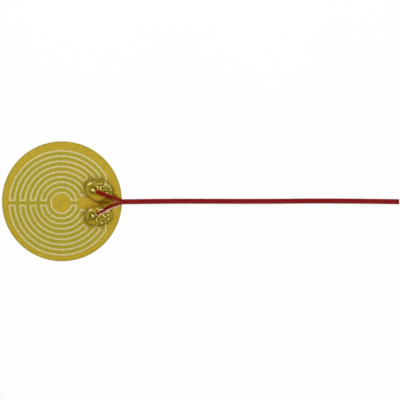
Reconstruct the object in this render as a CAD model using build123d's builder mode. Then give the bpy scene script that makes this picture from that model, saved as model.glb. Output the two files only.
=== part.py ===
from build123d import *
import os
from math import acos, asin, atan2, cos, degrees, pi, radians, tan

# Flexible film heater: an etched foil trace between two amber films, with two soldered leads.
# Lengths are millimetres. The origin is the centre of the disc's underside, and +X runs along
# the leads.

# Laminated disc, from the underside up
disc_diameter = 60.0
base_film_thickness = 0.10
foil_thickness = 0.05
cover_film_thickness = 0.10

# Heating trace: rings joined in turn into one path, etched a little off the disc's centre
trace_width = 0.80
edge_margin = 4.0
inner_ring_radius = 5.20
pattern_shift_x = -0.25
pattern_shift_y = -0.80
recess_clearance = 0.10
# Where neighbouring rings join on the terminal side, outermost pair first, in degrees
join_angles = (34.0, 44.5, 19.0)

# Terminals: inset from the disc's edge, and rise from the pattern's middle line
terminal_inset = 14.35
terminal_rise = 6.45
run_in_inset = 7.80
pad_diameter = 3.20
solder_rim = 0.20
solder_height = 0.95

# Leads: stranded wire, taken as one rod, in a red sleeve
lead_diameter = 1.25
conductor_diameter = 0.48
bore_clearance = 0.02
lead_clearance = 0.02
lead_gap = 0.05
strip_gap = 0.15
rise_share = 0.62
bend_share = 0.45

# Cover film raised over the leads, and higher in a blister over each joint
ceiling_clearance = 0.05
sleeve_flank_angle = 35.0
blister_lift = 0.25
blister_flank_angle = 50.0
blister_round = 3.0
heel_radius = 4.30
shoulder_radius = 4.90
shoulder_reach = 5.10
shoulder_rise = 0.25

# Each lead on the film: distance past the disc's edge, and place across the disc
film_routes = {
    "upper": [(-10.0, 3.78), (-5.6, 1.86), (-1.6, 0.92)],
    "lower": [(-10.0, -4.85), (-5.7, -2.42), (-1.7, -1.10)],
}
# Both leads off the disc: distance past its edge, and the line midway between them
free_route = [
    (1.4, -0.21),
    (7.0, -0.17),
    (16.0, -0.03),
    (34.0, 0.08),
    (70.0, -0.08),
    (106.0, 0.30),
    (138.4, -0.21),
]
# How far the leads are still held up there, as they come down from the film to the table
lift_shares = (1.0, 0.6, 0.1, 0.0, 0.0, 0.0, 0.0)

# Heights and radii that follow from the sizes above
disc_radius = disc_diameter / 2
foil_base_z = base_film_thickness
foil_top_z = foil_base_z + foil_thickness
film_top_z = foil_top_z + cover_film_thickness
outer_ring_radius = disc_radius - edge_margin
ring_count = 2 * len(join_angles) + 3
ring_pitch = (outer_ring_radius - inner_ring_radius) / (ring_count - 1)
ring_radii = [outer_ring_radius - ring * ring_pitch for ring in range(ring_count)]
bar_y = ring_pitch / 2
recess_radius = outer_ring_radius + trace_width / 2 + recess_clearance
terminal_x = disc_radius - terminal_inset
run_in_x = disc_radius - run_in_inset
solder_radius = pad_diameter / 2 - solder_rim
mound_radius = (solder_radius**2 + solder_height**2) / (2 * solder_height)
mound_drop = mound_radius - solder_height
mound_angle = degrees(asin(mound_drop / mound_radius))
lead_radius = lead_diameter / 2
conductor_radius = conductor_diameter / 2
bore_radius = conductor_radius + bore_clearance
lead_spacing = lead_diameter + lead_gap
lead_on_film_z = foil_top_z + lead_clearance + lead_radius
strip_length = solder_radius + strip_gap
sleeve_inner_radius = lead_radius + ceiling_clearance
sleeve_outer_radius = sleeve_inner_radius + cover_film_thickness
blister_ceiling_z = lead_on_film_z + sleeve_inner_radius + blister_lift
blister_top_z = blister_ceiling_z + cover_film_thickness
sides = {"upper": 1, "lower": -1}

os.makedirs("parts", exist_ok=True)


def on_ring(radius, angle):
    """Point of a ring, in the frame of the pattern."""
    return Vector(radius, 0).rotate(Axis.Z, angle)


def terminal(side, z):
    """Centre of a terminal pad, at a height."""
    return Vector(
        pattern_shift_x + terminal_x, pattern_shift_y + sides[side] * terminal_rise, z
    )


def lead_points(side):
    """Route of a lead's middle line, from its first bend on the film to its far end."""
    film = [Vector(disc_radius + x, y, lead_on_film_z) for x, y in film_routes[side]]
    drop = lead_on_film_z - lead_radius
    free = [
        Vector(disc_radius + x, y + sides[side] * lead_spacing / 2, lead_radius + share * drop)
        for (x, y), share in zip(free_route, lift_shares)
    ]
    return film + free


def lead_heading(side):
    """Direction in which a lead leaves its terminal."""
    return (lead_points(side)[0] - terminal(side, lead_on_film_z)).normalized()


def strip_point(side):
    """Where the insulation of a lead begins."""
    return terminal(side, lead_on_film_z) + lead_heading(side) * strip_length


def corner_radii(points):
    """Largest easy bend at each inner point of a route."""
    radii = []
    for before, at, after in zip(points, points[1:], points[2:]):
        turn = radians((at - before).get_angle(after - at))
        shorter = min((at - before).length, (after - at).length)
        radii.append(bend_share * shorter / tan(turn / 2))
    return radii


def blisters(top_z, wall, edge_round):
    """Low mounds with sloping flanks over the two joints, from the base film up."""
    flank = radians(blister_flank_angle)
    growth = (film_top_z - foil_base_z) * tan(flank) - wall / cos(flank)
    heel = Vector(terminal_x, terminal_rise)
    axis = Vector(shoulder_reach, shoulder_rise)
    lean = degrees(atan2(shoulder_rise, shoulder_reach))
    spread = degrees(acos((heel_radius - shoulder_radius) / axis.length))
    with BuildPart() as mounds:
        with BuildSketch(Plane((pattern_shift_x, pattern_shift_y, foil_base_z))):
            with BuildLine():
                round_heel = CenterArc(heel, heel_radius + growth, lean + spread, 360 - 2 * spread)
                shoulder = CenterArc(heel + axis, shoulder_radius + growth, lean - spread, 2 * spread)
                Line(round_heel @ 1, shoulder @ 0)
                Line(shoulder @ 1, round_heel @ 0)
            make_face()
        extrude(amount=top_z - foil_base_z, taper=blister_flank_angle)
        fillet(mounds.faces().sort_by(Axis.Z)[-1].edges(), edge_round)
        mirror(about=Plane.XZ.offset(-pattern_shift_y))
    return mounds.part


def sleeve(side, radius):
    """Film arch with sloping flanks along a lead, from its joint to just past the disc's edge."""
    flank = radians(sleeve_flank_angle)
    floor = foil_base_z - lead_on_film_z
    foot = radius / cos(flank) - floor * tan(flank)
    on_film = [strip_point(side)] + lead_points(side)[: len(film_routes[side]) + 1]
    with BuildPart() as arch:
        with BuildLine() as line:
            FilletPolyline(on_film, radius=corner_radii(on_film))
        with BuildSketch(Plane(line.line @ 0, x_dir=(0, 0, 1), z_dir=line.line % 0)):
            with BuildLine():
                CenterArc((0, 0), radius, 0, 360)
                Line((floor, -foot), (floor, foot))
            make_hull()
        sweep()
    return arch.part


# Lower film
with BuildPart() as base_film:
    with BuildSketch():
        Circle(disc_radius)
    extrude(amount=base_film_thickness)
base_film.part.label = "base_film"
export_step(base_film.part, "parts/base_film.step")

# Etched foil: half the winding from its pad to the middle of the innermost ring, then its mirror
bar_angles = [degrees(asin(bar_y / radius)) for radius in ring_radii]
run_in_angle = degrees(acos(run_in_x / outer_ring_radius))
start_angles = [run_in_angle]
start_angles += [angle for angle in join_angles for ring in range(2)]
start_angles += bar_angles[-2:]
end_angles = [180 - angle for angle in bar_angles[:-1]] + [180]
pad_point = (terminal_x, terminal_rise)

with BuildPart() as heating_foil:
    with BuildSketch(Plane((pattern_shift_x, pattern_shift_y, foil_base_z))):
        with BuildLine():
            corner = (run_in_x, terminal_rise)
            Polyline(pad_point, corner, on_ring(outer_ring_radius, run_in_angle))
            for radius, start, end in zip(ring_radii, start_angles, end_angles):
                CenterArc((0, 0), radius, start, end - start)
            for ring in range(ring_count - 1):
                angles = start_angles if ring % 2 else end_angles
                Line(
                    on_ring(ring_radii[ring], angles[ring]),
                    on_ring(ring_radii[ring + 1], angles[ring + 1]),
                )
            offset(amount=trace_width / 2, mode=Mode.REPLACE)
        make_face()
        with Locations(pad_point):
            Circle(pad_diameter / 2)
        mirror(about=Plane.XZ)
    extrude(amount=foil_thickness)
heating_foil.part.label = "heating_foil"
export_step(heating_foil.part, "parts/heating_foil.step")

# Leads, and the solder mounds that hold them
for side in sides:
    points = lead_points(side)
    wire_start = terminal(side, foil_top_z + conductor_radius)
    rise_point = terminal(side, lead_on_film_z) + lead_heading(side) * strip_length * rise_share
    lead_radii = corner_radii([strip_point(side)] + points)
    wire_radii = corner_radii([wire_start, rise_point, points[0]]) + lead_radii
    print(side, "bend radii", [round(radius, 1) for radius in wire_radii])

    with BuildPart() as conductor:
        with BuildLine() as wire_line:
            FilletPolyline(wire_start, rise_point, *points, radius=wire_radii)
        with BuildSketch(Plane(wire_line.line @ 0, z_dir=wire_line.line % 0)):
            Circle(conductor_radius)
        sweep()
    conductor.part.label = f"conductor_{side}"
    export_step(conductor.part, f"parts/conductor_{side}.step")

    with BuildPart() as insulation:
        with BuildLine() as lead_line:
            FilletPolyline(strip_point(side), *points, radius=lead_radii)
        with BuildSketch(Plane(lead_line.line @ 0, z_dir=lead_line.line % 0)):
            Circle(lead_radius)
            Circle(bore_radius, mode=Mode.SUBTRACT)
        sweep()
    insulation.part.label = f"insulation_{side}"
    export_step(insulation.part, f"parts/insulation_{side}.step")
    lead_length = lead_line.wire().length
    plain_volume = pi * (lead_radius**2 - bore_radius**2) * lead_length
    print(side, "lead length", round(lead_length, 2))
    print(side, "tube volume", round(insulation.part.volume, 3), "of", round(plain_volume, 3))

    foot = terminal(side, foil_top_z)
    with BuildPart() as solder_joint:
        with BuildSketch(Plane(foot, x_dir=(1, 0, 0), z_dir=(0, -1, 0))):
            with BuildLine():
                CenterArc((0, -mound_drop), mound_radius, mound_angle, 90 - mound_angle)
                Polyline((0, solder_height), (0, 0), (solder_radius, 0))
            make_face()
        revolve(axis=Axis(foot, (0, 0, 1)))
        add(conductor.part, mode=Mode.SUBTRACT)
    solder_joint.part.label = f"solder_joint_{side}"
    export_step(solder_joint.part, f"parts/solder_joint_{side}.step")

# Upper film: pressed down round the foil's edge, raised over the joints and along the leads
inner_round = blister_round - cover_film_thickness
blister_outsides = blisters(blister_top_z, 0, blister_round)
blister_insides = blisters(blister_ceiling_z, cover_film_thickness, inner_round)
sleeve_outsides = [sleeve(side, sleeve_outer_radius) for side in sides]
sleeve_insides = [sleeve(side, sleeve_inner_radius) for side in sides]

with BuildPart() as cover_film:
    with BuildSketch(Plane.XY.offset(foil_base_z)) as disc:
        Circle(disc_radius)
    extrude(amount=film_top_z - foil_base_z)
    add(blister_outsides)
    add(sleeve_outsides)
    extrude(disc.sketch, amount=blister_top_z - foil_base_z, mode=Mode.INTERSECT)
    add(blister_insides, mode=Mode.SUBTRACT)
    add(sleeve_insides, mode=Mode.SUBTRACT)
    with BuildSketch(Plane((pattern_shift_x, pattern_shift_y, foil_base_z))):
        Circle(recess_radius)
    extrude(amount=foil_thickness, mode=Mode.SUBTRACT)
cover_film.part.label = "cover_film"
export_step(cover_film.part, "parts/cover_film.step")
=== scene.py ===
import math

import bpy
import numpy as np
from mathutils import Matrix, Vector


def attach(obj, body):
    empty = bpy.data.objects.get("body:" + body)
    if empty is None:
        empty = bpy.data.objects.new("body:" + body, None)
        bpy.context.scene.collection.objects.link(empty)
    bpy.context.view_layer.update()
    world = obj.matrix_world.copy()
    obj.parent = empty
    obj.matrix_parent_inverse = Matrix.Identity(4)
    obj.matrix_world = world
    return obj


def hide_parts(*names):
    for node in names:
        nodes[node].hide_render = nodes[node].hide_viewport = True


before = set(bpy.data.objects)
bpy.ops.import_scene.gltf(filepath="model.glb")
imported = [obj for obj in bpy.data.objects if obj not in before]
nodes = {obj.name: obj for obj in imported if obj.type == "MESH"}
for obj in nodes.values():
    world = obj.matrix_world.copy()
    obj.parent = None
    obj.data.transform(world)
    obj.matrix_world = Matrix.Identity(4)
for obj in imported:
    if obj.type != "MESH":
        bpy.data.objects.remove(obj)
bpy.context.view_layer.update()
scene = bpy.context.scene
scene.view_settings.view_transform = "Standard"
rng = np.random.default_rng(7)

# Lengths are millimetres and turns degrees unless a name says otherwise, in the frame of the CAD part
MM = 0.001
SIDES = {"upper": 1, "lower": -1}

# Laminate: the disc, the middle of the winding, and the heights of the layers
DISC_RADIUS = 30.0
WINDING_CENTRE = (-0.25, -0.80, 0.0)
BASE_TOP = 0.10
FOIL_TOP = 0.15
FILM_TOP = 0.25
FILM_THICK = 0.10
CONTACT = 0.005
FILM_UNDER = FOIL_TOP + CONTACT

# Wire: its strands, its joint, and how it bends from the joint into the tube
CONDUCTOR_RADIUS = 0.24
STRANDS_ROUND = 6
STRAND_SPOKES = 6
LAY_LENGTH = 6.0
TERMINALS = {"upper": np.array([15.40, 5.65]), "lower": np.array([15.40, -7.25])}
STRIP_LENGTH = {"upper": 1.85, "lower": 2.35}
RISE_LENGTH = 0.96
WIRE_BEND = {"upper": (0.0, 0.0), "lower": (0.25, -0.72)}
WIRE_IN_TUBE = 0.5
WIRE_SHOWN_TO_X = 20.0

# Tube: its section, its bevelled ends, and the web that joins the pair beyond the disc
LEAD_RADIUS = 0.625
BORE_RADIUS = 0.26
TUBE_SPOKES = 40
TUBE_END = 0.09
BEVEL_STEPS = np.array([0.0, 0.03])
BEVEL_SHARES = np.array([0.88, 0.97])
LEAD_SPACING = 1.30
WEB_START_X = 28.8
WEB_RUN_IN = 1.4
WEB_SEAM = 0.001
WEB_REACH = LEAD_SPACING / 2 - WEB_SEAM
WEB_HALF_HEIGHT = 0.45

# Routes: points on the film, then points of the pair's middle with a share of the height on the film
LEAD_ON_FILM = 0.795
FILM_ROUTES = {
    "upper": [(20.0, 3.96), (24.4, 2.12), (27.2, 1.22)],
    "lower": [(20.0, -5.00), (24.3, -2.60), (27.2, -1.50)],
}
FREE_ROUTE = [
    (28.9, -0.22, 1.0),
    (30.6, -0.22, 1.0),
    (33.0, -0.20, 0.95),
    (37.0, -0.17, 0.6),
    (46.0, -0.03, 0.1),
    (64.0, 0.08, 0.0),
    (100.0, -0.08, 0.0),
    (136.0, 0.30, 0.0),
    (168.4, -0.21, 0.0),
]
ROUTE_STEPS = 24

# Solder
SOLDER_RADIUS = 1.40
SOLDER_HEIGHT = 0.95
SOLDER_LUMPS = {"upper": 1.0, "lower": 0.35}


def link(name, verts, faces, material):
    """A smooth mesh object in metres from points in millimetres."""
    mesh = bpy.data.meshes.new(name)
    mesh.from_pydata((np.asarray(verts, float) * MM).tolist(), [], [list(f) for f in faces])
    mesh.polygons.foreach_set("use_smooth", [True] * len(mesh.polygons))
    mesh.update()
    made = bpy.data.objects.new(name, mesh)
    scene.collection.objects.link(made)
    mesh.materials.append(material)
    return made


# Camera, straight above
camera = bpy.data.objects.new("camera", bpy.data.cameras.new("camera"))
camera.data.type = "PERSP"
camera.data.sensor_width = 36.0
camera.data.lens = 100.0
camera.data.clip_start = 0.01
camera.data.clip_end = 50.0
camera.location = (0.06898, 0.000645, 0.5553)
camera.rotation_euler = (0.0, 0.0, 0.0)
scene.collection.objects.link(camera)
scene.camera = camera


# Material helpers
def new_material(name):
    """An empty node material and its tree."""
    material = bpy.data.materials.new(name)
    material.use_nodes = True
    material.node_tree.nodes.clear()
    return material, material.node_tree


def node(tree, kind, inputs=None, **settings):
    """A node with its settings, its inputs linked or set."""
    made = tree.nodes.new(kind)
    for key, value in settings.items():
        setattr(made, key, value)
    for key, value in (inputs or {}).items():
        if isinstance(value, bpy.types.NodeSocket):
            tree.links.new(value, made.inputs[key])
        else:
            made.inputs[key].default_value = value
    return made


def finish_material(tree, kind, inputs):
    """The last shader of a material, on its output."""
    shader = node(tree, kind, inputs)
    node(tree, "ShaderNodeOutputMaterial", {"Surface": shader.outputs[0]})


def noise(tree, vector, scale, detail):
    inputs = {"Vector": vector, "Scale": scale, "Detail": detail}
    return node(tree, "ShaderNodeTexNoise", inputs).outputs["Fac"]


def span(tree, value, low, high, to_low=0.0, to_high=1.0):
    inputs = {"Value": value, "From Min": low, "From Max": high, "To Min": to_low, "To Max": to_high}
    return node(tree, "ShaderNodeMapRange", inputs).outputs["Result"]


def noise_span(tree, value, to_low=0.0, to_high=1.0):
    """The range that a noise mostly keeps to, spread over another."""
    return span(tree, value, 0.3, 0.7, to_low, to_high)


def ramp(tree, factor, stops):
    made = node(tree, "ShaderNodeValToRGB", {"Fac": factor})
    elements = made.color_ramp.elements
    while len(elements) < len(stops):
        elements.new(0.5)
    for element, (place, colour) in zip(elements, stops):
        element.position = place
        element.color = (*colour, 1.0)
    return made.outputs["Color"]


def noise_ramp(tree, value, low, middle, high):
    """Three colours over the range that a noise mostly keeps to."""
    return ramp(tree, noise_span(tree, value), [(0.0, low), (0.5, middle), (1.0, high)])


def mix_colour(tree, factor, first, second, blend="MIX"):
    colours = [c if isinstance(c, bpy.types.NodeSocket) else (*c, 1.0) for c in (first, second)]
    inputs = {0: factor, 6: colours[0], 7: colours[1]}
    return node(tree, "ShaderNodeMix", inputs, data_type="RGBA", blend_type=blend).outputs[2]


def maths(tree, operation, *values):
    return node(tree, "ShaderNodeMath", dict(enumerate(values)), operation=operation).outputs[0]


def vector_maths(tree, operation, *values):
    return node(tree, "ShaderNodeVectorMath", dict(enumerate(values)), operation=operation).outputs[0]


def attribute_of(tree, name, output="Fac"):
    return node(tree, "ShaderNodeAttribute", attribute_name=name).outputs[output]


def in_millimetres(tree, offset=(0.0, 0.0, 0.0)):
    """Object coordinates in millimetres, less an offset."""
    place = node(tree, "ShaderNodeTexCoord").outputs["Object"]
    scaled = vector_maths(tree, "MULTIPLY", place, (1000.0, 1000.0, 1000.0))
    return vector_maths(tree, "SUBTRACT", scaled, offset)


def flat_length(tree, vector):
    """Length of a vector across the disc."""
    flat = vector_maths(tree, "MULTIPLY", vector, (1.0, 1.0, 0.0))
    return node(tree, "ShaderNodeVectorMath", {0: flat}, operation="LENGTH").outputs["Value"]


def bump(tree, height, strength, distance):
    inputs = {"Height": height, "Strength": strength, "Distance": distance * MM}
    return node(tree, "ShaderNodeBump", inputs).outputs["Normal"]


# Lower film: golden amber, greener where the winding lies
def base_film_material():
    gold, green = (0.624, 0.457, 0.030), (0.490, 0.421, 0.044)
    material, tree = new_material("base_film_amber")
    place = in_millimetres(tree, WINDING_CENTRE)
    parts = node(tree, "ShaderNodeSeparateXYZ", {0: place}).outputs
    wander = noise_span(tree, noise(tree, place, 0.35, 2.0), -0.5, 0.5)
    reach = maths(tree, "ADD", flat_length(tree, place), wander)
    wound = maths(tree, "MULTIPLY", span(tree, reach, 4.3, 5.5), span(tree, reach, 27.2, 25.9))
    half_width = span(tree, parts["X"], 6.0, 16.0, 1.6, 4.6)
    within = maths(tree, "SUBTRACT", half_width, maths(tree, "ABSOLUTE", parts["Y"]))
    east = span(tree, parts["X"], 6.6, 8.4)
    bare = maths(tree, "MULTIPLY", span(tree, within, -0.5, 0.5), east)
    winding = maths(tree, "MULTIPLY", wound, maths(tree, "SUBTRACT", 1.0, bare))
    zone = mix_colour(tree, winding, gold, green)
    mottle = noise(tree, place, 0.9, 4.0)
    grain = noise(tree, place, 2.2, 3.0)
    streak = noise(tree, vector_maths(tree, "MULTIPLY", place, (1.3, 0.10, 1.0)), 1.0, 3.0)
    shade = noise_span(tree, mottle, 0.90, 1.085)
    shade = maths(tree, "ADD", shade, noise_span(tree, grain, -0.07, 0.07))
    shade = maths(tree, "ADD", shade, noise_span(tree, streak, -0.045, 0.045))
    toned = vector_maths(tree, "MULTIPLY", zone, shade)
    # Darker towards the disc's edge and bluer at its rim: painted shade along the cut edge
    edge_stops = [
        (0.0, (1.0, 1.0, 1.0)),
        (0.45, (0.93, 0.95, 0.96)),
        (0.72, (0.80, 0.86, 0.95)),
        (0.93, (0.92, 0.96, 1.35)),
    ]
    disc_reach = flat_length(tree, in_millimetres(tree))
    edge = ramp(tree, span(tree, disc_reach, 28.6, 30.1), edge_stops)
    shader_inputs = {
        "Base Color": mix_colour(tree, 1.0, toned, edge, "MULTIPLY"),
        "Roughness": noise_span(tree, mottle, 0.38, 0.5),
        "IOR": 1.5,
        "Normal": bump(tree, grain, 0.15, 0.02),
    }
    finish_material(tree, "ShaderNodeBsdfPrincipled", shader_inputs)
    return material


# Foil: rolled pale alloy, matte from etching
def foil_material():
    material, tree = new_material("etched_foil")
    place = in_millimetres(tree)
    rolling = noise(tree, vector_maths(tree, "MULTIPLY", place, (0.35, 6.0, 6.0)), 1.0, 4.0)
    blotch = noise(tree, place, 0.8, 3.0)
    half_rolling = maths(tree, "MULTIPLY", rolling, 0.5)
    mixed = maths(tree, "ADD", half_rolling, maths(tree, "MULTIPLY", blotch, 0.5))
    alloy_stops = [(0.0, (0.75, 0.64, 0.50)), (0.5, (0.82, 0.70, 0.56)), (1.0, (0.89, 0.77, 0.63))]
    shader_inputs = {
        "Base Color": ramp(tree, span(tree, mixed, 0.32, 0.68), alloy_stops),
        "Metallic": 0.25,
        "Roughness": noise_span(tree, rolling, 0.42, 0.6),
        "Normal": bump(tree, rolling, 0.2, 0.01),
    }
    finish_material(tree, "ShaderNodeBsdfPrincipled", shader_inputs)
    return material


# Upper film: clear amber with cloudy, red or light pink glue under it, and a shine that varies; its tint and
# its light pink glue carry painted shade and painted highlights
def cover_film_material():
    material, tree = new_material("cover_film_amber")
    place = in_millimetres(tree)
    shade = noise_span(tree, noise(tree, place, 0.8, 4.0), 0.98, 1.005)
    toned = vector_maths(tree, "MULTIPLY", attribute_of(tree, "tint", "Color"), shade)
    see_through = node(tree, "ShaderNodeBsdfTransparent", {"Color": toned})

    normal = bump(tree, noise(tree, place, 9.0, 2.0), 0.05, 0.004)
    gloss_inputs = {"Color": (1.0, 0.94, 0.72, 1.0), "Roughness": 0.07, "Normal": normal}
    gloss = node(tree, "ShaderNodeBsdfGlossy", gloss_inputs)
    facing = node(tree, "ShaderNodeLayerWeight", {"Blend": 0.5, "Normal": normal}).outputs["Facing"]
    bare_shine = span(tree, maths(tree, "POWER", facing, 5.0), 0.0, 1.0, 0.065, 0.9)
    shine = maths(tree, "MULTIPLY", bare_shine, attribute_of(tree, "polish"))

    cell_inputs = {"Vector": place, "Scale": 2.2, "Randomness": 1.0}
    cells = node(tree, "ShaderNodeTexVoronoi", cell_inputs, feature="F1")
    speckle = span(tree, cells.outputs["Distance"], 0.1, 0.8, 0.14, -0.16)
    foam_stops = [
        (0.0, (0.095, 0.072, 0.004)),
        (0.35, (0.29, 0.212, 0.014)),
        (0.6, (0.52, 0.40, 0.022)),
        (1.0, (0.92, 0.78, 0.10)),
    ]
    foam_glue = ramp(tree, maths(tree, "ADD", attribute_of(tree, "foam"), speckle), foam_stops)
    red_cloud = noise(tree, place, 1.4, 3.0)
    red_glue = noise_ramp(tree, red_cloud, (0.225, 0.022, 0.006), (0.275, 0.028, 0.008), (0.33, 0.042, 0.012))
    # Light pink glue: the colour of the painted highlight below the lower lead, and of the mouth's lighter
    # glue, partly a painted highlight
    glue_and_highlight_cloud = noise(tree, place, 1.1, 2.0)
    glue_and_highlight_colour = noise_ramp(tree, glue_and_highlight_cloud, (0.80, 0.44, 0.26), (0.90, 0.50, 0.33), (0.96, 0.57, 0.42))
    glue = mix_colour(tree, attribute_of(tree, "blush"), foam_glue, red_glue)
    glue = mix_colour(tree, attribute_of(tree, "glue_and_highlight"), glue, glue_and_highlight_colour)
    milky = node(tree, "ShaderNodeBsdfDiffuse", {"Color": glue})

    body_inputs = {0: attribute_of(tree, "froth"), 1: see_through.outputs[0], 2: milky.outputs[0]}
    body = node(tree, "ShaderNodeMixShader", body_inputs)
    finish_material(tree, "ShaderNodeMixShader", {0: shine, 1: body.outputs[0], 2: gloss.outputs[0]})
    return material


# Insulation: dark red moulded plastic with faint die lines
def insulation_material():
    material, tree = new_material("red_insulation")
    place = in_millimetres(tree)
    lines = noise(tree, vector_maths(tree, "MULTIPLY", place, (0.12, 5.0, 5.0)), 1.0, 3.0)
    cloud = noise(tree, place, 0.35, 3.0)
    colour = noise_ramp(tree, cloud, (0.225, 0.003, 0.004), (0.25, 0.004, 0.005), (0.275, 0.006, 0.006))
    shader_inputs = {
        "Base Color": colour,
        "Roughness": noise_span(tree, lines, 0.5, 0.62),
        "Specular IOR Level": 0.12,
        "Normal": bump(tree, lines, 0.2, 0.02),
    }
    finish_material(tree, "ShaderNodeBsdfPrincipled", shader_inputs)
    return material


# Strands: tinned copper
def strand_material():
    material, tree = new_material("tinned_strand")
    tarnish = noise(tree, in_millimetres(tree), 2.5, 4.0)
    shader_inputs = {
        "Base Color": noise_ramp(tree, tarnish, (0.80, 0.72, 0.60), (0.90, 0.87, 0.80), (0.95, 0.94, 0.90)),
        "Metallic": 0.25,
        "Roughness": noise_span(tree, tarnish, 0.35, 0.2),
    }
    finish_material(tree, "ShaderNodeBsdfPrincipled", shader_inputs)
    return material


# Solder: bright on top, dark at its foot with rosin and with painted shade of its steep sides
def solder_material():
    material, tree = new_material("solder")
    place = in_millimetres(tree)
    height = node(tree, "ShaderNodeSeparateXYZ", {0: place}).outputs["Z"]
    grain = noise(tree, place, 5.0, 4.0)
    level = maths(tree, "ADD", height, noise_span(tree, grain, -0.10, 0.10))
    solder_stops = [
        (0.0, (0.10, 0.085, 0.02)),
        (0.3, (0.24, 0.22, 0.09)),
        (0.5, (0.86, 0.86, 0.78)),
        (1.0, (0.96, 0.96, 0.90)),
    ]
    shader_inputs = {
        "Base Color": ramp(tree, span(tree, level, 0.15, 1.0), solder_stops),
        "Metallic": 0.40,
        "Roughness": span(tree, level, 0.3, 0.9, 0.36, 0.18),
        "Normal": bump(tree, grain, 0.35, 0.04),
    }
    finish_material(tree, "ShaderNodeBsdfPrincipled", shader_inputs)
    return material


# Leads: route points as control points of one spline each
def route_points(side):
    drop = LEAD_ON_FILM - LEAD_RADIUS
    beside = SIDES[side] * LEAD_SPACING / 2
    on_film = [np.array([x, y, LEAD_ON_FILM]) for x, y in FILM_ROUTES[side]]
    free = [np.array([x, y + beside, LEAD_RADIUS + share * drop]) for x, y, share in FREE_ROUTE]
    return on_film + free


def spline_points(name, points):
    """Points along the NURBS spline that has these control points."""
    curve = bpy.data.curves.new(name, "CURVE")
    curve.dimensions = "3D"
    curve.resolution_u = ROUTE_STEPS
    spline = curve.splines.new("NURBS")
    spline.points.add(len(points) - 1)
    for target, point in zip(spline.points, points):
        target.co = (*(point * MM), 1.0)
    spline.order_u = 3
    spline.use_endpoint_u = True
    line = bpy.data.objects.new(name, curve)
    scene.collection.objects.link(line)
    bpy.context.view_layer.update()
    mesh = bpy.data.meshes.new_from_object(line.evaluated_get(bpy.context.evaluated_depsgraph_get()))
    found = np.array([vertex.co for vertex in mesh.vertices]) / MM
    bpy.data.meshes.remove(mesh)
    bpy.data.objects.remove(line)
    bpy.data.curves.remove(curve)
    return found


def steps_along(line):
    return np.linalg.norm(np.diff(line, axis=0), axis=1)


def frames_along(line):
    """Unit tangent, side and lift at each point of a line that never stands upright."""
    tangent = np.gradient(line, axis=0)
    tangent /= np.linalg.norm(tangent, axis=1)[:, None]
    side = np.cross((0.0, 0.0, 1.0), tangent)
    side /= np.linalg.norm(side, axis=1)[:, None]
    return tangent, side, np.cross(tangent, side)


def rings_along(line, radii, segments, offset=0.0):
    """Rings of points round a line, with one radius or one for each point of each ring."""
    _, side, lift = frames_along(line)
    angles = np.linspace(0.0, 2 * math.pi, segments, endpoint=False)
    spokes = np.cos(angles)[None, :, None] * side[:, None]
    spokes = spokes + np.sin(angles)[None, :, None] * lift[:, None]
    return (line + offset)[:, None] + spokes * np.broadcast_to(radii, (len(line), segments))[..., None]


def skin(rings, closed_loop=False):
    """Quads between neighbouring rings."""
    count, segments = rings.shape[:2]
    faces = []
    for ring in range(count if closed_loop else count - 1):
        here, after = ring * segments, (ring + 1) % count * segments
        for spoke in range(segments):
            beside = (spoke + 1) % segments
            faces.append((here + spoke, here + beside, after + beside, after + spoke))
    return rings.reshape(-1, 3), faces


def twisted_strands(line):
    """Capped strands: some round the line of the wire, and one along it."""
    travelled = np.concatenate(([0.0], np.cumsum(steps_along(line))))
    _, across, lift = frames_along(line)
    strand_radius = CONDUCTOR_RADIUS / 3
    verts, faces = [], []
    start = 0
    for strand in range(STRANDS_ROUND + 1):
        turn = 2 * math.pi * (strand / STRANDS_ROUND + travelled / LAY_LENGTH)
        reach = 0.0 if strand == STRANDS_ROUND else 2 * strand_radius
        offset = reach * (np.cos(turn)[:, None] * across + np.sin(turn)[:, None] * lift)
        made, quads = skin(rings_along(line, strand_radius, STRAND_SPOKES, offset))
        last = start + len(made)
        verts.append(made)
        faces += [tuple(start + index for index in quad) for quad in quads]
        faces.append(tuple(range(start + STRAND_SPOKES - 1, start - 1, -1)))
        faces.append(tuple(range(last - STRAND_SPOKES, last)))
        start = last
    return np.concatenate(verts), faces


def bonded_tube(line, hand):
    """Outer wall with bevelled ends and half of the web on its inward side, and the bore."""
    outer = np.concatenate((BEVEL_SHARES, np.ones(len(line)), BEVEL_SHARES[::-1])) * LEAD_RADIUS
    tangent, _, _ = frames_along(line)
    head = [line[0] + tangent[0] * step for step in BEVEL_STEPS]
    tail = [line[-1] - tangent[-1] * step for step in BEVEL_STEPS[::-1]]
    body = line.copy()
    body[0] = line[0] + tangent[0] * TUBE_END
    body[-1] = line[-1] - tangent[-1] * TUBE_END
    outer_line = np.concatenate((head, body, tail))
    spoke_turn = np.linspace(0.0, 2 * math.pi, TUBE_SPOKES, endpoint=False)
    inward = np.maximum(-hand * np.cos(spoke_turn), 1e-6)
    upward = np.maximum(abs(np.sin(spoke_turn)), 1e-6)
    web = np.minimum(WEB_REACH / inward, WEB_HALF_HEIGHT / upward)
    bonded = np.clip((outer_line[:, 0] - WEB_START_X) / WEB_RUN_IN, 0.0, 1.0)
    section = 1 + bonded[:, None] * np.clip(web / LEAD_RADIUS - 1, 0.0, None) * (inward > 1e-3)
    outer_rings = rings_along(outer_line, outer[:, None] * section, TUBE_SPOKES)
    bore_rings = rings_along(line, BORE_RADIUS, TUBE_SPOKES)[::-1]
    return skin(np.concatenate((outer_rings, bore_rings)), closed_loop=True)


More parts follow.
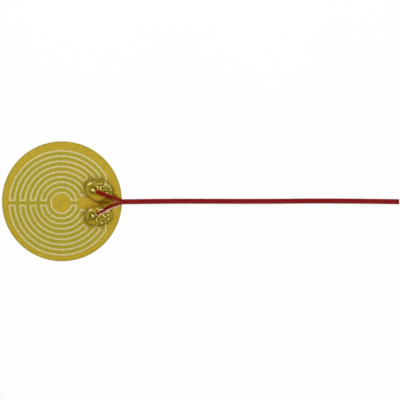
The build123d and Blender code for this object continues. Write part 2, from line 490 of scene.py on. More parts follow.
insulation_red = insulation_material()
strand_metal = strand_material()
lead_lines = {}
wire_lines = {}
for side in SIDES:
    points = route_points(side)
    terminal = TERMINALS[side]
    heading = points[0][:2] - terminal
    heading /= np.linalg.norm(heading)
    strip = np.array([*(terminal + heading * STRIP_LENGTH[side]), LEAD_ON_FILM])
    inside_tube = strip + np.array([*(heading * WIRE_IN_TUBE), 0.0])
    bent = terminal + WIRE_BEND[side]
    rise = np.array([*(bent + heading * RISE_LENGTH), LEAD_ON_FILM])
    foot = np.array([*bent, FOIL_TOP + CONDUCTOR_RADIUS])
    line = spline_points(f"lead_route_{side}", [strip] + points)
    lead_lines[side] = line
    wire_lines[side] = spline_points(f"wire_route_{side}", [foot, rise, strip, inside_tube] + points)

    conductor = link(f"strands_{side}", *twisted_strands(wire_lines[side]), strand_metal)
    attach(conductor, "root")
    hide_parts(f"conductor_{side}")

    insulation = link(f"insulation_tube_{side}", *bonded_tube(line, SIDES[side]), insulation_red)
    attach(insulation, "root")
    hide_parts(f"insulation_{side}")

# Cover film: fields on a fine grid over the blisters and the mouth
STEP = 0.1
grid_x = np.arange(8.5, 31.01, STEP)
grid_y = np.arange(-15.5, 14.01, STEP)
X, Y = np.meshgrid(grid_x, grid_y, indexing="ij")


def ease(value, low, high):
    """Zero at low, one at high, straight between them."""
    return np.clip((value - low) / (high - low), 0.0, 1.0)


def window(value, start, full, fading, end):
    """One from full to fading, easing to zero at start and end."""
    return ease(value, start, full) * ease(value, end, fading)


def bell(value, middle, width):
    return np.exp(-(((value - middle) / width) ** 2))


def blob(cx, cy, size, stretch, turn):
    """Soft bump on the grid: its middle, its half width, and how much longer it is along its turn."""
    c, s = math.cos(math.radians(turn)), math.sin(math.radians(turn))
    u = (X - cx) * c + (Y - cy) * s
    v = (Y - cy) * c - (X - cx) * s
    return np.exp(-((u / (size * stretch)) ** 2 + (v / size) ** 2))


def toward(value, goal, share):
    """The value, moved towards a goal by a share of the way."""
    return value + (goal - value) * share


def smooth_max(layers, softness):
    layers = np.stack(layers)
    top = layers.max(axis=0)
    return top + softness * np.log(np.exp((layers - top) / softness).sum(axis=0))


def near_line(x, y, line):
    """Distance across the disc to a line of points, above zero on its left, and the line's height there."""
    gap = np.full(x.shape, 1e9)
    height = np.zeros(x.shape)
    hand = np.zeros(x.shape)
    for a, b in zip(line[:-1], line[1:]):
        run = b[:2] - a[:2]
        share = np.clip(((x - a[0]) * run[0] + (y - a[1]) * run[1]) / (run @ run), 0.0, 1.0)
        away_x, away_y = x - a[0] - share * run[0], y - a[1] - share * run[1]
        distance = np.hypot(away_x, away_y)
        nearer = distance < gap
        gap = np.where(nearer, distance, gap)
        height = np.where(nearer, a[2] + share * (b[2] - a[2]), height)
        hand = np.where(nearer, run[0] * away_y - run[1] * away_x, hand)
    return np.where(hand < 0, -gap, gap), height


def wire_distance(x, y, side):
    """Distance across the disc to the part of a wire that shows."""
    line = wire_lines[side]
    offset, _ = near_line(x, y, line[line[:, 0] < WIRE_SHOWN_TO_X])
    return abs(offset)


def smooth_loop(points, rounds=4):
    """Closed outline that rounds the corners of a drawn one."""
    loop = np.array(points, float)
    for _ in range(rounds):
        after = np.roll(loop, -1, axis=0)
        pairs = np.stack((0.75 * loop + 0.25 * after, 0.25 * loop + 0.75 * after), axis=1)
        loop = pairs.reshape(-1, 2)
    return loop


def depth_inside(x, y, loop):
    """Distance from a closed outline, above zero inside."""
    closed = np.concatenate((loop, loop[:1]))
    offset, _ = near_line(x, y, np.column_stack((closed, np.zeros(len(closed)))))
    gap = abs(offset)
    crossings = np.zeros(x.shape, int)
    for a, b in zip(closed[:-1], closed[1:]):
        spans = (a[1] > y) != (b[1] > y)
        rise = b[1] - a[1] if b[1] != a[1] else 1e-12
        crossings += spans & (x < a[0] + (y - a[1]) * (b[0] - a[0]) / rise)
    return np.where(crossings % 2 == 1, gap, -gap)


BLISTER_OUTLINES = {
    "upper": [
        (10.9, 5.6), (11.2, 8.4), (13.0, 10.4), (15.6, 11.2), (20.9, 11.1), (23.0, 9.4), (25.2, 7.4),
        (26.0, 5.0), (25.4, 2.6), (22.0, 1.2), (18.6, -0.5), (16.0, 0.0), (13.6, 1.7), (11.6, 3.4),
    ],
    "lower": [
        (10.9, -8.0), (11.2, -5.2), (12.8, -3.2), (15.4, -2.3), (18.6, -2.3), (21.6, -3.2), (24.6, -4.2),
        (25.7, -7.0), (25.0, -9.8), (22.8, -11.6), (19.0, -12.4), (15.0, -12.4), (12.0, -10.9),
    ],
}
inside = {side: depth_inside(X, Y, smooth_loop(BLISTER_OUTLINES[side])) for side in SIDES}
outside = np.minimum(-inside["upper"], -inside["lower"])

# Blisters: steep at their outline, rounding over to a top that falls a little towards the mouth
BLISTER_RISE = 1.42
BLISTER_FALL = {"upper": 0.32, "lower": 0.45}
SHOULDER = {"upper": 0.78, "lower": 0.66}
SHOULDER_EAST = 0.5
DENT = (18.9, -3.45, 0.8, 2.2, 25.0)
DENT_DEPTH = 0.20
east = ease(X, 15.0, 21.0)
blister_top = np.full(X.shape, FILM_TOP)
for side in SIDES:
    depth = np.clip(inside[side], 0.0, None)
    level = BLISTER_RISE - BLISTER_FALL[side] * east
    shoulder = toward(SHOULDER[side], SHOULDER_EAST, east)
    blister_top = np.maximum(blister_top, FILM_TOP + level * (1 - np.exp(-depth / shoulder)))
blister_top -= DENT_DEPTH * blob(*DENT) * ease(inside["lower"], 0.2, 1.0)

# Ridge of film and glue over each lead, flat on top
LEAD_NEAR_TO_X = 34.0
GLUE_OVER_LEAD = 0.05
CREST = LEAD_RADIUS + GLUE_OVER_LEAD + FILM_THICK
RIDGE_FLAT = {"upper": 0.70, "lower": 0.28}
RIDGE_FLAT_AT_MOUTH = 0.25
RIDGE_ROUND = 0.35
RIDGE_SLOPE = {"upper": math.radians(56.0), "lower": math.radians(64.0)}
layers = [blister_top]
offsets, gaps, crests = {}, {}, {}
for side in SIDES:
    line = lead_lines[side]
    offsets[side], height = near_line(X, Y, line[line[:, 0] < LEAD_NEAR_TO_X])
    gap = abs(offsets[side])
    gaps[side] = gap
    crests[side] = height + CREST
    flat_half = toward(RIDGE_FLAT_AT_MOUTH, RIDGE_FLAT[side], ease(X, 30.0, 26.5))
    past = np.clip(gap - flat_half, 0.0, None)
    fall = RIDGE_SLOPE[side]
    bend = RIDGE_ROUND * math.sin(fall)
    rounded = RIDGE_ROUND - np.sqrt(RIDGE_ROUND**2 - np.minimum(past, bend) ** 2)
    ridge = crests[side] - rounded - np.clip(past - bend, 0.0, None) * math.tan(fall)
    crown = height + np.sqrt(np.clip(CREST**2 - gap**2, 0.0, None))
    layers.append(np.maximum(ridge, np.where(gap < LEAD_RADIUS, crown, 0.0)))
nearest_lead = np.minimum(gaps["upper"], gaps["lower"])
between = ease(-offsets["upper"], 0.0, 0.3) * ease(offsets["lower"], 0.0, 0.3)

# Beside the lower lead, a fillet of glue and two facets, tilted to mirror the lamps
GLANCE_SLOPE = 0.29
FILLET_REACH = 1.60
FILLET_HEIGHT = 0.55
FILLET_FALL = 2.0
FILLET_SUNK = 3.0
FACET_DROP = 0.03
FACET_START = 0.35
SECOND_FACET_RAISE = 0.02
above_lead, below_lead = offsets["lower"] > 0, offsets["lower"] < 0
gap = gaps["lower"]
past = FILLET_REACH - gap
fillet = FILLET_HEIGHT + past * np.where(past > 0, GLANCE_SLOPE, FILLET_FALL)
shown = window(X, 24.2, 24.8, 29.2, 29.8) * below_lead
layers.append(fillet - FILLET_SUNK * (1 - shown))
facet = crests["lower"] - FACET_DROP - GLANCE_SLOPE * np.clip(gap - FACET_START, 0.0, None)
shown = window(X, 17.7, 18.3, 20.9, 21.6) * above_lead
shown = shown * ease(gap, 1.7, 1.35) * ease(inside["lower"], 0.0, 0.6)
layers.append(blister_top + np.clip(facet - blister_top, 0.0, None) * shown)
shown = window(X, 20.6, 21.4, 24.6, 25.2) * below_lead * ease(gap, 1.5, 1.25)
layers.append(blister_top + np.clip(facet + SECOND_FACET_RAISE - blister_top, 0.0, None) * shown)

# One surface over all of them, with soft seams
LAYER_BLEND = 0.05
SMOOTHING_ROUNDS = 4
surface = smooth_max(layers, LAYER_BLEND)
surface -= surface[0, 0] - FILM_TOP
for _ in range(SMOOTHING_ROUNDS):
    inner = surface[1:-1, 1:-1]
    around = surface[:-2, 1:-1] + surface[2:, 1:-1] + surface[1:-1, :-2] + surface[1:-1, 2:]
    surface[1:-1, 1:-1] = 0.5 * inner + 0.125 * around

# Bubbles in the glue beside the leads lift the film, but not on the folds or the upper blister's shelf
FOLD_PLACE = (23.0, 8.2, 0.85, 2.2, -45.0)
FOLD_START = 0.62
FOLD_PITCH = 0.95
BUBBLE_ZONES = {"upper": (17.6, 24.8, 4.2, 10.0), "lower": (17.4, 24.8, -11.6, -5.0)}
BUBBLE_TRIES = 700
BUBBLE_SIZE = (0.36, 0.80)
BUBBLE_GLOW = (0.58, 1.15)
BUBBLE_LIFT = 0.27
BUBBLE_SPACE = 1.08
RIM_SPACE = 0.25
FOLD_SPACE = 0.9
SHELF_SPACE = 2.0
LEAD_SPACE = 0.7
folds = 0.5 + 0.5 * np.cos(2 * math.pi * (inside["upper"] - FOLD_START) / FOLD_PITCH)
folded = ease(blob(*FOLD_PLACE) * ease(inside["upper"], 0.2, 0.4), 0.05, 0.5)
shelf = ease(Y, 7.9, 9.1)
rim_space = RIM_SPACE + FOLD_SPACE * folded + SHELF_SPACE * shelf
bubbles = []
for side, (x_low, x_high, y_low, y_high) in BUBBLE_ZONES.items():
    for _ in range(BUBBLE_TRIES):
        cx = rng.uniform(x_low, x_high)
        cy = rng.uniform(y_low, y_high)
        size = rng.uniform(*BUBBLE_SIZE)
        glow = rng.uniform(*BUBBLE_GLOW)
        cell = int((cx - grid_x[0]) / STEP), int((cy - grid_y[0]) / STEP)
        clear = inside[side][cell] > size + rim_space[cell] and nearest_lead[cell] > size + LEAD_SPACE
        apart = (math.hypot(cx - bx, cy - by) > BUBBLE_SPACE * (size + bs) for bx, by, bs, _ in bubbles)
        if clear and all(apart):
            bubbles.append((cx, cy, size, glow))
bubble_bodies = np.zeros(X.shape)
bubble_rims = np.zeros(X.shape)
foam = np.full(X.shape, 0.5)
for cx, cy, size, glow in bubbles:
    away = np.hypot(X - cx, Y - cy)
    body = ease(away, size + 0.05, size - 0.15)
    surface += BUBBLE_LIFT * size * np.clip(1 - (away / size) ** 2, 0.0, None)
    bubble_rims = np.maximum(bubble_rims, bell(away, size + 0.1, 0.2))
    bubble_bodies = np.maximum(bubble_bodies, body)
    foam = toward(foam, glow, body)

# Wrinkles across the upper lead, and folds along the upper blister's rim
WRINKLES = ((23.2, 3.0), (23.75, 2.8), (24.3, 2.5))
CREASES = ((23.48, 3.0), (24.02, 2.8))
CREASE_TURN = 86.0
WRINKLE_HEIGHT = 0.06
for cx, cy in WRINKLES:
    surface += WRINKLE_HEIGHT * blob(cx, cy, 0.15, 8.0, CREASE_TURN)
surface += WRINKLE_HEIGHT * folds * folded

slope_x, slope_y = np.gradient(surface, STEP)
slope = np.hypot(slope_x, slope_y)
under = np.maximum(surface - FILM_THICK * np.sqrt(1 + slope**2), FILM_UNDER)

# What the film and its glue leave of the light's red, green and blue after all four crossings of a face, with
# painted shade and painted highlights worked in
CLEAR = np.array([0.86, 0.83, 0.45])
CROSSINGS = 4
film_tints = np.broadcast_to(CLEAR, X.shape + (3,)).copy()


def deepen(amount, factor):
    """Multiply the film's tint by a factor where the amount is one."""
    change = 1 + np.clip(amount, 0.0, 1.0)[..., None] * (np.array(factor) - 1)
    np.multiply(film_tints, change, out=film_tints)


# Rims, the halo round them, and the domes within them
domed = ease(-outside, 0.3, 1.1)
corner = ease(X, 20.5, 23.0) * ease(Y, -4.5, -6.5)
rim_share = (1 - 0.45 * ease(Y, -9.0, -11.0)) * (1 - 0.85 * corner)
# Painted shade: darker where the film is steep, and in a line along the foot of each rim
deepen(ease(slope, 0.4, 1.7) * rim_share, (0.50, 0.40, 0.24))
deepen(bell(outside, -0.12, 0.32) * rim_share, (0.48, 0.35, 0.20))
deepen(bell(outside, 0.9, 0.9) * ease(X, 22.0, 20.0), (0.87, 0.83, 0.88))
deepen(0.8 * np.exp(-np.clip(outside, 0.0, None) / 1.1) * (outside > 0), (0.84, 0.68, 0.60))
deepen(domed, (0.95, 0.855, 0.60))
# Painted shade round the edge of each bubble
deepen(0.85 * bubble_rims, (0.36, 0.33, 0.18))
# Painted shade in the troughs of the folds along the upper blister's rim
deepen(0.8 * folded * (1 - folds), (0.45, 0.45, 0.28))
# Glue and painted shade: darker in the valley between the leads beside the upper blister
deepen(ease(X, 17.0, 19.5) * between * ease(-inside["upper"], -1.6, -1.0), (0.74, 0.60, 0.45))

# Stains and painted shade, each a blob and its colour factor: one over the upper blister, three in the valley
# between the leads, and three at the rims
STAINS_AND_SHADE = (
    ((18.0, 11.5, 0.6, 3.4, 6.0), (0.78, 0.74, 0.55)),
    # Painted shade in the valley between the leads
    ((22.2, -0.5, 0.95, 3.4, -2.0), (0.31, 0.25, 0.08)),
    ((19.0, -1.0, 0.85, 2.3, -12.0), (0.62, 0.44, 0.38)),
    # Painted shade in the valley
    ((21.6, -1.2, 0.55, 3.2, 0.0), (0.76, 0.75, 0.75)),
    # Painted shade on the film's slope above the upper lead at the mouth
    ((26.7, 3.4, 0.55, 2.4, -10.0), (0.34, 0.37, 0.20)),
    ((25.75, 5.3, 0.45, 2.2, 95.0), (0.85, 0.58, 0.50)),
    ((18.3, -2.05, 0.5, 1.6, -15.0), (0.95, 0.70, 0.62)),
)
for shape, colour in STAINS_AND_SHADE:
    deepen(blob(*shape), colour)

# Red sheath along each lead; a painted highlight over each joint and its bare wire; and round them a dark
# ring of rosin and painted shade
SHEATH_BELOW = {"upper": 1.08, "lower": 0.66}
SHEATH_ABOVE = {"upper": 1.00, "lower": 0.90}
# Dark spots round each joint: rosin, and painted shade of the solder's steep sides
ROSIN_AND_SHADE_SPOTS = {
    "upper": [
        (15.4, 7.35, 0.42, 1.5, 0.0),
        (16.75, 6.35, 0.42, 1.3, -60.0),
        (15.3, 4.35, 0.40, 2.0, 0.0),
    ],
    "lower": [
        (15.5, -6.05, 0.42, 2.0, 0.0),
        (16.35, -6.5, 0.36, 1.2, 30.0),
        (14.2, -7.4, 0.35, 1.4, 90.0),
        (17.0, -7.85, 0.38, 1.5, 40.0),
        (15.8, -8.6, 0.35, 1.8, 0.0),
        (13.8, -9.1, 0.42, 1.2, 0.0),
    ],
}
ROSIN_AND_SHADE_PATCHES = 5
clearer = np.maximum(domed, ease(X, 24.0, 25.0))
sheaths, joint_gaps, joint_turns = {}, {}, {}
for side, hand in SIDES.items():
    from_x, from_y = X - TERMINALS[side][0], Y - TERMINALS[side][1]
    away = np.hypot(from_x, from_y)
    joint_gaps[side] = away
    joint_turns[side] = np.arctan2(from_y, from_x)
    gap = gaps[side]
    reach = np.where(offsets[side] > 0, SHEATH_ABOVE[side], SHEATH_BELOW[side])
    reach = toward(reach, 1.0, ease(X, 27.0, 29.5))
    wrapped = ease(gap, reach + 0.14, reach - 0.06)
    beyond = ease(away, STRIP_LENGTH[side] - 0.2, STRIP_LENGTH[side] + 0.2)
    sheath = ease(gap, 0.38, 0.56) * wrapped * beyond
    deepen(sheath, (0.50, 0.07, 0.12))
    sheaths[side] = np.maximum(sheath, 0.8 * wrapped * ease(X, 25.0, 27.5))
    deepen(ease(gap, 0.62, 0.50) * beyond * clearer, (1.22, 1.22, 1.0))

    wire_gap = wire_distance(X, Y, side)
    patchy = 0.72 + 0.28 * np.cos(ROSIN_AND_SHADE_PATCHES * joint_turns[side] + 0.8 * hand)
    # Painted highlight: the film clearer and yellower over the top of the joint
    deepen(ease(away, 1.10, 0.80), (1.22, 1.26, 0.80))
    # Painted highlight: the film clearer along the bare wire
    deepen(ease(wire_gap, 0.5, 0.3) * ease(away, 0.8, 1.1) * (1 - beyond), (1.22, 1.26, 1.5))
    # Dark ring round the joint: rosin, and painted shade of the solder's steep sides
    deepen(bell(away, 1.32, 0.36) * patchy * ease(wire_gap, 0.3, 0.6), (0.06, 0.075, 0.03))
    for shape in ROSIN_AND_SHADE_SPOTS[side]:
        spot = ease(blob(*shape), 0.1, 0.6)
        deepen(spot * ease(wire_gap, 0.35, 0.55), (0.10, 0.075, 0.01))
# Painted shade along the lower side of the lower lead's first stretch
deepen(bell(offsets["lower"], -0.22, 0.28) * window(X, 17.0, 17.6, 20.5, 22.0), (0.45, 0.5, 0.5))
# Painted shade in the creases between the wrinkles across the upper lead
for cx, cy in CREASES:
    crease = 0.8 * blob(cx, cy, 0.16, 7.0, CREASE_TURN)
    deepen(crease * ease(offsets["upper"], -1.2, -1.0), (0.55, 0.45, 0.45))
film_tints = np.clip(film_tints, 0.0, 1.0) ** (1 / CROSSINGS)

# Cloudy glue along the rims and among the bubbles: froth is its share, foam its brightness
BUBBLE_GAPS_DARK = {"upper": 1.0, "lower": 0.75}
cloudy = 0.5 * window(-outside, 0.0, 0.2, 0.8, 1.5)
dark = np.zeros(X.shape)
for side, (x_low, x_high, y_low, y_high) in BUBBLE_ZONES.items():
    across_zone = (2 * X - x_low - x_high) / (x_high - x_low)
    along_zone = (2 * Y - y_low - y_high) / (y_high - y_low)
    off_middle = np.hypot(across_zone, along_zone)
    among = 0.7 * ease(off_middle, 1.2, 0.85) * ease(inside[side], 0.1, 0.3) * (1 - 0.8 * shelf)
    dark = np.maximum(dark, BUBBLE_GAPS_DARK[side] * among * ease(inside[side], 0.5, 1.0))
    cloudy = np.maximum(cloudy, among)
foam = toward(0.52 - 0.44 * dark, foam, bubble_bodies)
# On the folds, lighter glue on the crests and darker in the troughs: painted highlight and painted shade
foam = toward(foam, 1.1 * folds - 0.05, folded)
froth = np.maximum(0.75 * bubble_bodies, cloudy)
froth = np.maximum(froth, 0.75 * folded)
for side, hand in SIDES.items():
    away = joint_gaps[side]
    froth *= ease(gaps[side], 0.9, 1.3) * ease(away, 1.9, 2.4)
    # Dark cloudy ring round each joint: rosin, and painted shade of the solder's steep sides
    patchy = ease(np.cos(ROSIN_AND_SHADE_PATCHES * joint_turns[side] + hand), -0.6, 0.6)
    rosin_and_shade = bell(away, 1.30, 0.40) * ease(gaps[side], 0.9, 1.1) * patchy
    foam = toward(foam, 0.0, rosin_and_shade)
    froth = np.maximum(froth, 0.95 * rosin_and_shade)

# Red glue along the leads and in the mouth: blush is its share of the glue
red = np.maximum(sheaths["upper"], 0.8 * sheaths["lower"])
mouth = between * ease(X, 24.8, 26.4) * ease(nearest_lead, 0.5, 0.75)
foam = toward(foam, 0.65, mouth)
froth = np.maximum(froth, 0.9 * mouth)
red = np.maximum(red, mouth * (0.84 + 0.14 * ease(X, 26.5, 28.5)))
glue_amount = red + froth * (1 - red)
near_red = ease(nearest_lead, 1.4, 1.1)
blush = np.where(glue_amount > 0.01, red / np.maximum(glue_amount, 0.01), near_red)
froth = np.maximum(froth, 0.92 * red)

# Light pink line below the lower lead: a painted highlight, drawn as milky glue; the glue in the mouth a
# little lighter, partly a painted highlight too
off_line = offsets["lower"] + 1.03 + 0.10 * ease(X, 25.8, 27.0)
highlight_line = ease(bell(off_line, 0.0, 0.40), 0.10, 0.75) * window(X, 17.8, 18.8, 29.2, 30.0)
froth = np.maximum(froth, 0.95 * highlight_line)
glue_and_highlight = np.maximum((0.52 + 0.48 * ease(X, 21.5, 23.0)) * highlight_line, 0.22 * mouth)

# Where the film is polished, and where glue and creases leave it dull
POLISH_FLAT = 0.6
POLISH_DOME = 0.3
POLISH_BLOBS = (
    ((13.6, 8.9, 1.3, 1.3, 45.0), 0.55),
    ((14.0, -3.9, 1.2, 1.3, 45.0), 0.55),
    ((23.1, 8.25, 0.7, 2.4, -45.0), 0.3),
    ((19.55, -4.10, 0.75, 2.2, 22.0), 0.85),
    ((20.0, 1.3, 0.7, 2.2, 20.0), 0.03),
)
GLOWING = 0.85
polish = np.where(outside > 0, POLISH_FLAT, POLISH_DOME)
polish = toward(polish, 0.05, bell(outside, 0.1, 0.7))
for shape, amount in POLISH_BLOBS:
    polish = toward(polish, amount, blob(*shape))
for cx, cy, size, glow in bubbles:
    near = ease(np.hypot(X - cx, Y - cy), size + 0.1, size - 0.1)
    polish = toward(polish, 0.3 + 0.55 * (glow > GLOWING), near)
dull_places = (
    (ease(gaps["upper"], 1.7, 1.4) * ease(X, 21.0, 19.0), 0.10),
    (ease(gaps["upper"], 0.5, 0.4), 0.05),
    (ease(gaps["upper"], 1.0, 0.8) * ease(X, 24.0, 25.5), 0.02),
    (ease(gaps["lower"], 1.1, 0.9) * ease(X, 21.0, 22.0), 0.03),
    (ease(gaps["lower"], 0.5, 0.4), 0.05),
    (ease(gaps["lower"], 0.9, 0.7) * ease(X, 20.8, 21.6), 0.01),
    (ease(gaps["lower"], 1.0, 0.8) * ease(X, 24.0, 25.5), 0.02),
    (between * ease(X, 21.2, 22.0) * ease(nearest_lead, 0.8, 1.0), 0.08),
    (ease(bell(offsets["upper"], 1.6, 0.9), 0.1, 0.5) * ease(X, 25.0, 26.0), 0.03),
    (bell(off_line, 0.0, 0.5) * ease(X, 20.6, 21.4), 0.10),
)
for near, amount in dull_places:
    polish = toward(polish, amount, near)


def sample(field, x, y, far):
    """Field of the fine grid at points of the disc, or its far value outside the grid."""
    u = (x - grid_x[0]) / STEP
    v = (y - grid_y[0]) / STEP
    held = (u >= 0) & (v >= 0) & (u < len(grid_x) - 1) & (v < len(grid_y) - 1)
    i = np.clip(u.astype(int), 0, len(grid_x) - 2)
    j = np.clip(v.astype(int), 0, len(grid_y) - 2)
    s, t = u - i, v - j
    low = field[i, j] * (1 - s) + field[i + 1, j] * s
    high = field[i, j + 1] * (1 - s) + field[i + 1, j + 1] * s
    return np.where(held, low * (1 - t) + high * t, far)


# Polar mesh of the film, fine in the sector of the blisters, closing down onto the base at its edge
MIDDLE_RINGS = np.linspace(1.5, 9.0, 6)
FINE_RINGS = np.arange(9.5, 29.95, 0.13)
FINE_TURNS = np.arange(-45.0, 42.01, 0.36)
COARSE_TURNS = np.linspace(FINE_TURNS[-1], FINE_TURNS[0] + 360.0, 50)[1:-1]
FLAT_BELOW = FILM_TOP + 0.03
EDGE_START = 27.4
EDGE_RUN = 0.5
reach = np.concatenate((MIDDLE_RINGS, FINE_RINGS, [DISC_RADIUS]))
turns = np.radians(np.concatenate((FINE_TURNS, COARSE_TURNS)))
ring_x = reach[:, None] * np.cos(turns)[None]
ring_y = reach[:, None] * np.sin(turns)[None]
film_top = sample(surface, ring_x, ring_y, FILM_TOP)
film_under = sample(under, ring_x, ring_y, FILM_UNDER)
flat = film_top < FLAT_BELOW
edge_drop = np.clip((reach - EDGE_START) / EDGE_RUN, 0.0, 1.0)[:, None]
film_under = np.where(flat, film_under - edge_drop * (FOIL_TOP - BASE_TOP), film_under)
top_rings = np.stack((ring_x, ring_y, film_top), axis=2)
under_rings = np.stack((ring_x, ring_y, film_under), axis=2)
shell_verts, shell_faces = skin(np.concatenate((top_rings, under_rings[::-1])))
centre_top = len(shell_verts)
shell_verts = np.concatenate((shell_verts, [[0.0, 0.0, FILM_TOP], [0.0, 0.0, FILM_UNDER]]))
columns = len(turns)
last_ring = centre_top - columns
for column in range(columns):
    beside = (column + 1) % columns
    shell_faces.append((centre_top, beside, column))
    shell_faces.append((centre_top + 1, last_ring + column, last_ring + beside))
cover = link("cover_film_formed", shell_verts, [face[::-1] for face in shell_faces], cover_film_material())

clear_face = CLEAR ** (1 / CROSSINGS)
tints = np.stack([sample(film_tints[..., c], ring_x, ring_y, clear_face[c]) for c in range(3)], axis=2)
spread = np.concatenate((tints.reshape(-1, 3), tints[::-1].reshape(-1, 3), np.tile(clear_face, (2, 1))))
spread = np.column_stack((spread, np.ones(len(spread))))
attribute = cover.data.attributes.new("tint", "FLOAT_COLOR", "POINT")
attribute.data.foreach_set("color", spread.astype(np.float32).ravel())
for name, field, far in (
    ("froth", froth, 0.0),
    ("foam", foam, 0.0),
    ("blush", blush, 0.0),
    ("glue_and_highlight", glue_and_highlight, 0.0),
    ("polish", polish, POLISH_FLAT),
):
    on_top = sample(field, ring_x, ring_y, far)
    beneath = np.zeros(on_top.shape)
    if name == "polish":
        on_top[-1] = 0.0
        beneath = (on_top * ~flat)[::-1]
    values = np.concatenate((on_top.ravel(), beneath.ravel(), [far, far]))
    attribute = cover.data.attributes.new(name, "FLOAT", "POINT")
    attribute.data.foreach_set("value", values.astype(np.float32))
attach(cover, "root")
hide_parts("cover_film")

# Solder mounds, a little lumpy, drawn out along the wire
MOUND_SPOKES = 56
MOUND_ROWS = 22
MOUND_LUMPS = 9
TONGUE_SHORT_OF_STRIP = 0.1
TONGUE_HALF_TURN_RADIANS = 0.34
WETTED_HEIGHT = 0.66
WETTED_HALF_WIDTH = 0.34
mound_radius = (SOLDER_RADIUS**2 + SOLDER_HEIGHT**2) / (2 * SOLDER_HEIGHT)
share = np.sin(np.linspace(0.0, math.pi / 2, MOUND_ROWS + 1))[1:]
dome = np.sqrt(mound_radius**2 - (SOLDER_RADIUS * share) ** 2) - mound_radius + SOLDER_HEIGHT
angle = np.linspace(0.0, 2 * math.pi, MOUND_SPOKES, endpoint=False)
solder_metal = solder_material()
for side in SIDES:
    terminal = TERMINALS[side]
    heading = FILM_ROUTES[side][0] - terminal
    bearing = math.atan2(heading[1], heading[0])
    waves = sum(
        rng.uniform(0.01, 0.04) * np.cos(count * angle + rng.uniform(0.0, 2 * math.pi)) for count in (2, 3, 5)
    )
    tongue = STRIP_LENGTH[side] - TONGUE_SHORT_OF_STRIP
    off_bearing = np.angle(np.exp(1j * (angle - bearing)))
    drawn_out = (tongue / SOLDER_RADIUS - 1) * bell(off_bearing, 0.0, TONGUE_HALF_TURN_RADIANS)
    out = SOLDER_RADIUS * share[:, None] * (1 + (waves + drawn_out)[None] * share[:, None])
    mx, my = out * np.cos(angle), out * np.sin(angle)
    lumps = np.zeros(out.shape)
    for _ in range(MOUND_LUMPS):
        cx, cy = rng.normal(0.0, 0.55, 2)
        size = rng.uniform(0.2, 0.4)
        lumps += rng.uniform(-0.08, 0.16) * np.exp(-((mx - cx) ** 2 + (my - cy) ** 2) / size**2)
    lumps *= SOLDER_LUMPS[side]
    along = mx * math.cos(bearing) + my * math.sin(bearing)
    across = wire_distance(terminal[0] + mx, terminal[1] + my, side)
    wetted = WETTED_HEIGHT * bell(across, 0.0, WETTED_HALF_WIDTH)
    wetted = wetted * window(along, 0.4, 0.8, tongue - 0.3, tongue)
    mound = np.clip(dome[:, None] + lumps * (1 - share[:, None] ** 4), 0.0, None)
    height = FOIL_TOP + np.maximum(mound, wetted)
    rings = np.stack((terminal[0] + mx, terminal[1] + my, height), axis=2)
    floor_ring = rings[-1:].copy()
    floor_ring[..., 2] = FOIL_TOP
    verts, faces = skin(np.concatenate((rings, floor_ring)))
    peak = len(verts)
    verts = np.concatenate((verts, [[*terminal, FOIL_TOP + SOLDER_HEIGHT + float(lumps[0].mean())]]))
    faces += [(peak, (spoke + 1) % MOUND_SPOKES, spoke) for spoke in range(MOUND_SPOKES)]
    faces.append(tuple(range(peak - MOUND_SPOKES, peak)))
    joint = link(f"solder_mound_{side}", verts, [face[::-1] for face in faces], solder_metal)
    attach(joint, "root")
    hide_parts(f"solder_joint_{side}")

# Nodes that keep their CAD shape
for name, material in (("base_film", base_film_material()), ("heating_foil", foil_material())):
    nodes[name].data.materials.clear()
    nodes[name].data.materials.append(material)


# Pale floor that curves up far away
def floor_material():
    material, tree = new_material("pale_floor")
    path = node(tree, "ShaderNodeLightPath").outputs
    seen = maths(tree, "MAXIMUM", path["Is Camera Ray"], path["Is Glossy Ray"])
    seen = maths(tree, "MAXIMUM", seen, path["Is Transmission Ray"])
    grain = noise(tree, in_millimetres(tree), 0.02, 3.0)
    paper_stops = [(0.0, (0.97, 0.97, 0.97)), (1.0, (0.99, 0.99, 0.99))]
    matte = node(tree, "ShaderNodeBsdfDiffuse", {"Color": ramp(tree, noise_span(tree, grain), paper_stops)})
    glow = node(tree, "ShaderNodeEmission", {"Color": (1.0, 1.0, 1.0, 1.0), "Strength": 1.0})
    share = maths(tree, "MULTIPLY", seen, 0.86)
    finish_material(tree, "ShaderNodeMixShader", {0: share, 1: matte.outputs[0], 2: glow.outputs[0]})
    return material


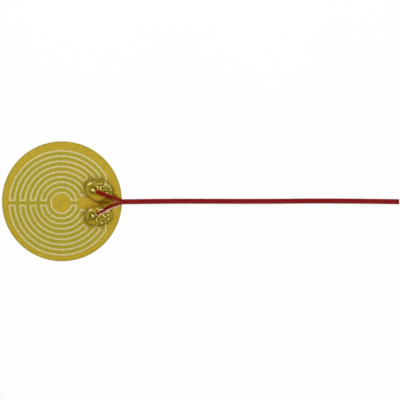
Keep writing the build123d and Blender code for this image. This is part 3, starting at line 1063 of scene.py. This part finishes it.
# Radius and height of each ring of the floor
BOWL = [(2000.0, 0.0), (2400.0, 10.0), (2700.0, 60.0), (2900.0, 160.0), (3000.0, 330.0), (3010.0, 600.0)]
FLOOR_SPOKES = 64
FLOOR_TOP = -0.01
floor_verts = [(0.0, 0.0, FLOOR_TOP)]
floor_faces = []
for radius, height in BOWL:
    for spoke in range(FLOOR_SPOKES):
        turn = 2 * math.pi * spoke / FLOOR_SPOKES
        floor_verts.append((radius * math.cos(turn), radius * math.sin(turn), height + FLOOR_TOP))
for spoke in range(FLOOR_SPOKES):
    beside = (spoke + 1) % FLOOR_SPOKES
    floor_faces.append((0, 1 + spoke, 1 + beside))
    for ring in range(len(BOWL) - 1):
        near, far = 1 + ring * FLOOR_SPOKES, 1 + (ring + 1) * FLOOR_SPOKES
        floor_faces.append((near + spoke, far + spoke, far + beside, near + beside))
floor = link("floor", floor_verts, floor_faces, floor_material())

# Soft lamps high at the sides, and a dim even sky
LAMP_AIM_M = Vector((0.03, 0.0, 0.0))
LAMP_DISTANCE_M = 0.9
LAMP_ELEVATION = 58.0
SKY_STRENGTH = 0.12


def lamp(name, azimuth, size_m, watts):
    data = bpy.data.lights.new(name, "AREA")
    data.shape = "DISK"
    data.size = size_m
    data.energy = watts
    made = bpy.data.objects.new(name, data)
    turn, lift = math.radians(azimuth), math.radians(LAMP_ELEVATION)
    outward = Vector((math.cos(turn) * math.cos(lift), math.sin(turn) * math.cos(lift), math.sin(lift)))
    made.location = LAMP_AIM_M + LAMP_DISTANCE_M * outward
    made.rotation_euler = (LAMP_AIM_M - made.location).to_track_quat("-Z", "Y").to_euler()
    scene.collection.objects.link(made)


lamp("lamp_left", 126.0, 0.44, 3.70)
lamp("lamp_right", 46.0, 0.42, 2.93)
lamp("lamp_front", -66.0, 0.36, 1.54)

world = bpy.data.worlds.new("sky")
scene.world = world
world.use_nodes = True
sky = world.node_tree.nodes["Background"]
sky.inputs["Color"].default_value = (1.0, 1.0, 1.0, 1.0)
sky.inputs["Strength"].default_value = SKY_STRENGTH
